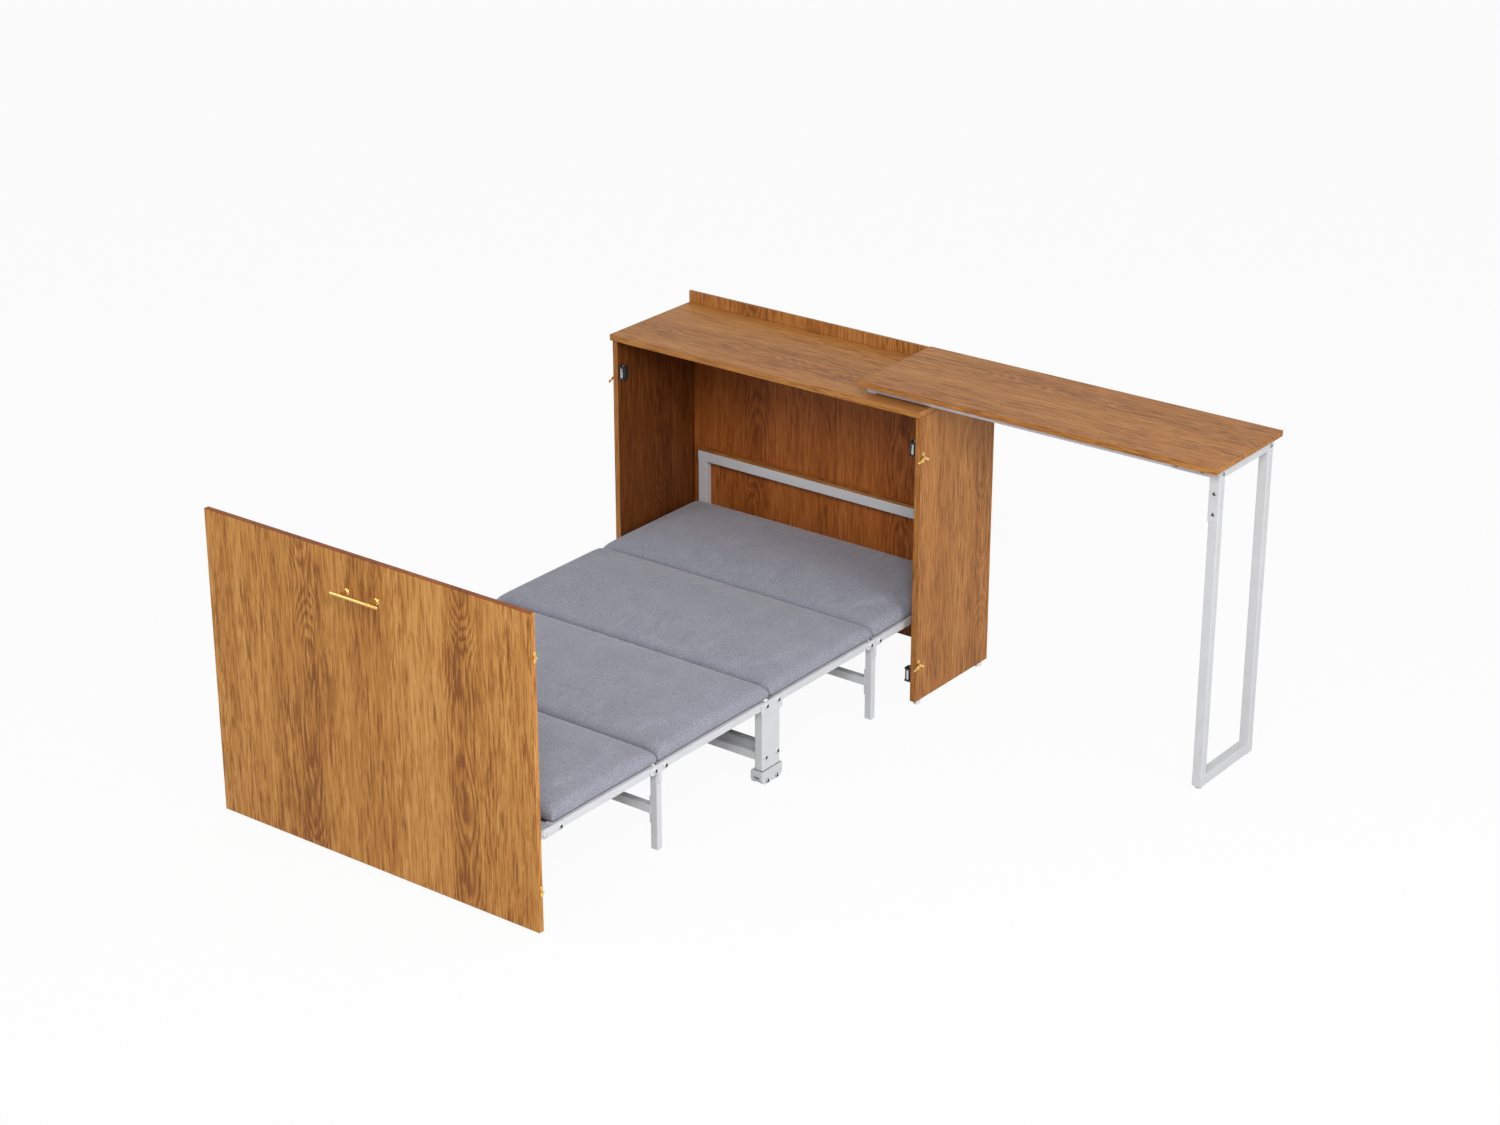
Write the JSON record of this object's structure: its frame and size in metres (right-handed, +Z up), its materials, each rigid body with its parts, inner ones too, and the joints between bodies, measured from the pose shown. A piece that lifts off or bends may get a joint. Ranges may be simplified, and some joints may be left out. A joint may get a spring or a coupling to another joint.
{
  "type": "wall bed with desk",
  "caption": "Shallow cabinet with a concertina bed that folds out on casters and a desk that slides along its top.",
  "frame": {"origin": "centre of the footprint, on the floor, with the bed out and the desk pulled out", "axes": "+X along the cabinet towards the desk's leg, +Y towards the wall behind the cabinet, +Z up"},
  "size_m": [1.9355, 1.9632, 0.9043],
  "materials": {
    "oak_front": "light oak veneer, satin",
    "oak_inner": "brown oak veneer, satin",
    "deck_board": "plain plywood",
    "bed_steel": "silver-grey powder coat",
    "desk_steel": "pale grey powder coat",
    "upholstery": "fine grey woven cloth",
    "brass": "polished",
    "white_plastic": "moulded",
    "black_plastic": "moulded, with a bright roller",
    "caster_plastic": "moulded",
    "wheel_rubber": "hard rubber"
  },
  "bodies": {
    "cabinet": {"top_board": "oak_front", "left_side_panel": "oak_front", "right_side_panel": "oak_front", "back_panel_left": "oak_inner", "back_panel_right": "oak_inner", "head_frame": "bed_steel", "head_batten": "oak_inner", "glide_left_front": "white_plastic", "glide_left_rear": "white_plastic", "glide_right_front": "white_plastic", "glide_right_rear": "white_plastic", "catch_left_low": "black_plastic", "catch_left_high": "black_plastic", "catch_right_low": "black_plastic", "catch_right_high": "black_plastic", "hook_plate_left_low": "brass", "hook_plate_left_high": "brass", "hook_plate_right_low": "brass", "hook_plate_right_high": "brass"},
    "hook_left_low": {"hook_arm_left_low": "brass"},
    "hook_left_high": {"hook_arm_left_high": "brass"},
    "hook_right_low": {"hook_arm_right_low": "brass"},
    "hook_right_high": {"hook_arm_right_high": "brass"},
    "section_1": {"section_1_frame": "bed_steel", "section_1_deck": "deck_board", "cushion_1": "upholstery"},
    "section_2": {"section_2_frame": "bed_steel", "section_2_deck": "deck_board", "cushion_2": "upholstery"},
    "section_3": {"section_3_frame": "bed_steel", "section_3_deck": "deck_board", "cushion_3": "upholstery"},
    "section_4": {"section_4_frame": "bed_steel", "section_4_deck": "deck_board", "cushion_4": "upholstery"},
    "knee_1": {"u_leg_1": "bed_steel"},
    "knee_3": {"u_leg_3": "bed_steel"},
    "middle_knee": {"middle_leg_left": "bed_steel", "middle_leg_right": "bed_steel", "middle_bar_front": "bed_steel", "middle_bar_rear": "bed_steel", "caster_housing_left": "caster_plastic", "caster_housing_right": "caster_plastic"},
    "caster_left_1": {"wheel_left_1": "wheel_rubber"},
    "caster_left_2": {"wheel_left_2": "wheel_rubber"},
    "caster_right_1": {"wheel_right_1": "wheel_rubber"},
    "caster_right_2": {"wheel_right_2": "wheel_rubber"},
    "front": {"foot_frame": "bed_steel", "foot_pad": "upholstery", "front_panel_left": "oak_front", "front_panel_right": "oak_front", "pull_handle": "brass", "keeper_left_low": "brass", "keeper_left_high": "brass", "keeper_right_low": "brass", "keeper_right_high": "brass"},
    "desk": {"desk_top": "oak_front", "desk_frame": "desk_steel", "desk_leg_loop": "desk_steel", "desk_glide": "white_plastic"}
  },
  "joints": [
    {"name": "bed_fold", "type": "hinge", "parent": "cabinet", "child": "section_1", "pos_m": [-0.43455, 0.92765, 0.228], "axis": [-1, 0, 0], "range_deg": [0, 86.11], "deforming": ["cushion_1"]},
    {"name": "knee_1_turn", "type": "hinge", "parent": "section_1", "child": "knee_1", "pos_m": [-0.43455, 0.51065, 0.228], "axis": [1, 0, 0], "range_deg": [0, 86.11]},
    {"name": "section_2_turn", "type": "hinge", "parent": "knee_1", "child": "section_2", "pos_m": [-0.43455, 0.47065, 0.228], "axis": [1, 0, 0], "range_deg": [0, 86.11], "deforming": ["cushion_2"]},
    {"name": "middle_turn", "type": "hinge", "parent": "section_2", "child": "middle_knee", "pos_m": [-0.43455, 0.05365, 0.228], "axis": [-1, 0, 0], "range_deg": [0, 86.11]},
    {"name": "section_3_turn", "type": "hinge", "parent": "middle_knee", "child": "section_3", "pos_m": [-0.43455, 0.00365, 0.228], "axis": [-1, 0, 0], "range_deg": [0, 86.11], "deforming": ["cushion_3"]},
    {"name": "knee_3_turn", "type": "hinge", "parent": "section_3", "child": "knee_3", "pos_m": [-0.43455, -0.41335, 0.228], "axis": [1, 0, 0], "range_deg": [0, 86.11]},
    {"name": "section_4_turn", "type": "hinge", "parent": "knee_3", "child": "section_4", "pos_m": [-0.43455, -0.45335, 0.228], "axis": [1, 0, 0], "range_deg": [0, 86.11]},
    {"name": "front_turn", "type": "hinge", "parent": "section_4", "child": "front", "pos_m": [-0.43455, -0.87035, 0.228], "axis": [-1, 0, 0], "range_deg": [0, 86.11]},
    {"name": "hook_left_low_swing", "type": "hinge", "parent": "cabinet", "child": "hook_left_low", "pos_m": [-0.95955, 0.63235, 0.1222], "axis": [-1, 0, 0], "range_deg": [-15, 22.25]},
    {"name": "hook_left_high_swing", "type": "hinge", "parent": "cabinet", "child": "hook_left_high", "pos_m": [-0.95955, 0.63235, 0.7274], "axis": [-1, 0, 0], "range_deg": [-15, 22.25]},
    {"name": "hook_right_low_swing", "type": "hinge", "parent": "cabinet", "child": "hook_right_low", "pos_m": [0.09045, 0.63235, 0.1222], "axis": [-1, 0, 0], "range_deg": [-15, 22.25]},
    {"name": "hook_right_high_swing", "type": "hinge", "parent": "cabinet", "child": "hook_right_high", "pos_m": [0.09045, 0.63235, 0.7274], "axis": [-1, 0, 0], "range_deg": [-15, 22.25]},
    {"name": "caster_left_1_spin", "type": "hinge", "parent": "middle_knee", "child": "caster_left_1", "pos_m": [-0.89655, 0.00865, 0.012], "axis": [1, 0, 0], "continuous": true},
    {"name": "caster_left_2_spin", "type": "hinge", "parent": "middle_knee", "child": "caster_left_2", "pos_m": [-0.89655, 0.04865, 0.012], "axis": [1, 0, 0], "continuous": true},
    {"name": "caster_right_1_spin", "type": "hinge", "parent": "middle_knee", "child": "caster_right_1", "pos_m": [0.02745, 0.00865, 0.012], "axis": [1, 0, 0], "continuous": true},
    {"name": "caster_right_2_spin", "type": "hinge", "parent": "middle_knee", "child": "caster_right_2", "pos_m": [0.02745, 0.04865, 0.012], "axis": [1, 0, 0], "continuous": true},
    {"name": "desk_slide", "type": "slide", "parent": "cabinet", "child": "desk", "axis": [1, 0, 0], "range_m": [-0.81, 0]}
  ],
  "couplings": [
    {"joint": "knee_1_turn", "follows": "bed_fold", "ratio": 1},
    {"joint": "section_2_turn", "follows": "bed_fold", "ratio": 1},
    {"joint": "middle_turn", "follows": "bed_fold", "ratio": 1},
    {"joint": "section_3_turn", "follows": "bed_fold", "ratio": 1},
    {"joint": "knee_3_turn", "follows": "bed_fold", "ratio": 1},
    {"joint": "section_4_turn", "follows": "bed_fold", "ratio": 1},
    {"joint": "front_turn", "follows": "bed_fold", "ratio": 1}
  ]
}
